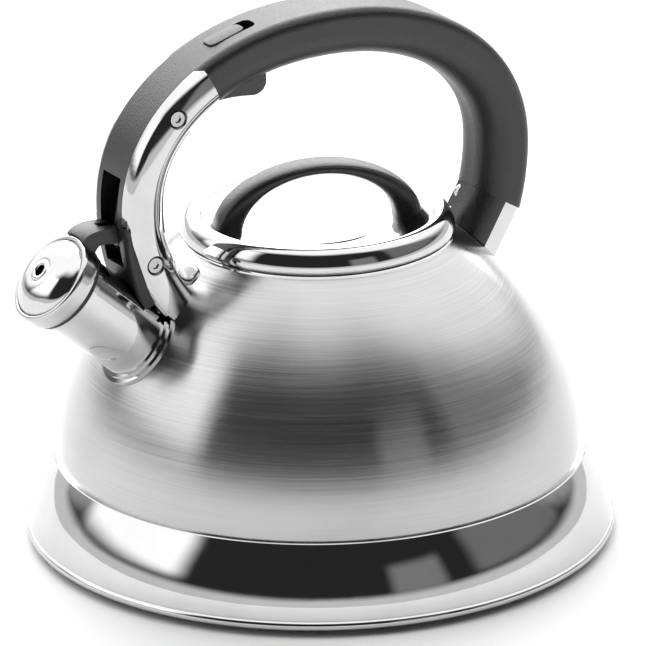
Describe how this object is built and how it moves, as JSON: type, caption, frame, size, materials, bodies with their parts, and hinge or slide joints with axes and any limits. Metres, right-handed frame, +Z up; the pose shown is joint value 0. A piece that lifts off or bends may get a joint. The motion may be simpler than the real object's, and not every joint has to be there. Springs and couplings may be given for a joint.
{
  "type": "stovetop whistling kettle",
  "caption": "Domed steel stovetop kettle with a polished flared base, a straight spout with a whistling cap worked by a trigger in the arched handle, and a lift-off lid.",
  "frame": {"origin": "centre of the base's bottom face, where it rests on the stove", "axes": "+Z up; the spout points to -X and the main handle arches over the lid in the XZ plane"},
  "size_m": [0.2328, 0.22, 0.2032],
  "materials": {
    "brushed_dome": "brushed",
    "polished_steel": "mirror polished",
    "plain_steel": "satin",
    "fastener_steel": "polished",
    "dark_plastic": "fine matte",
    "strip_plastic": "fine matte",
    "silicone": "matte",
    "aluminium_core": "plain"
  },
  "bodies": {
    "kettle": {"base_bead": "polished_steel", "base_cover": "plain_steel", "base_floor": "plain_steel", "base_skirt": "polished_steel", "cap_spring": "fastener_steel", "channel_liner": "dark_plastic", "dome_shell": "brushed_dome", "front_bracket": "polished_steel", "front_weld_tab": "polished_steel", "grip": "dark_plastic", "handle_strap": "plain_steel", "neck_ring": "polished_steel", "pivot_cups": "fastener_steel", "pivot_pins": "fastener_steel", "rear_bracket": "polished_steel", "rear_screws": "fastener_steel", "rear_tongue": "dark_plastic", "seam_band": "polished_steel", "spout_collar": "polished_steel", "spout_lip": "polished_steel", "spout_tube": "polished_steel", "spreader_plate": "aluminium_core", "trigger_spring": "fastener_steel"},
    "lid": {"lid_ring": "polished_steel", "lid_pan": "polished_steel", "lid_skirt": "plain_steel", "lid_seal": "silicone", "lid_handle": "dark_plastic", "lid_handle_strip": "strip_plastic", "lid_handle_tabs": "plain_steel", "lid_screws": "fastener_steel"},
    "trigger": {"trigger": "dark_plastic"},
    "spout_cap": {"cap_shell": "polished_steel", "cap_face": "polished_steel", "cap_insert": "dark_plastic", "cap_gasket": "silicone", "whistle_front_disc": "plain_steel", "whistle_rear_disc": "plain_steel", "whistle_spacer": "plain_steel", "cap_arm": "dark_plastic", "crank_pin": "fastener_steel"},
    "thumb_tab": {"thumb_tab": "dark_plastic"}
  },
  "joints": [
    {"name": "lid_lift", "type": "slide", "parent": "kettle", "child": "lid", "axis": [0, 0, 1], "range_m": [0, 0.028]},
    {"name": "trigger_squeeze", "type": "hinge", "parent": "kettle", "child": "trigger", "pos_m": [-0.0643, 0, 0.1736], "axis": [0, -1, 0], "range_deg": [0, 6.4], "stiffness_Nm_per_rad": 0.6, "springref_deg": -6.88},
    {"name": "cap_lift", "type": "hinge", "parent": "kettle", "child": "spout_cap", "pos_m": [-0.0746, 0, 0.12], "axis": [0, 1, 0], "range_deg": [0, 36.48], "stiffness_Nm_per_rad": 0.02, "springref_deg": -17.19},
    {"name": "thumb_tab_slide", "type": "slide", "parent": "kettle", "child": "thumb_tab", "axis": [0.9559, 0, 0.2937], "range_m": [0, 0.0045]}
  ],
  "couplings": [
    {"joint": "cap_lift", "follows": "trigger_squeeze", "ratio": 5.7}
  ]
}
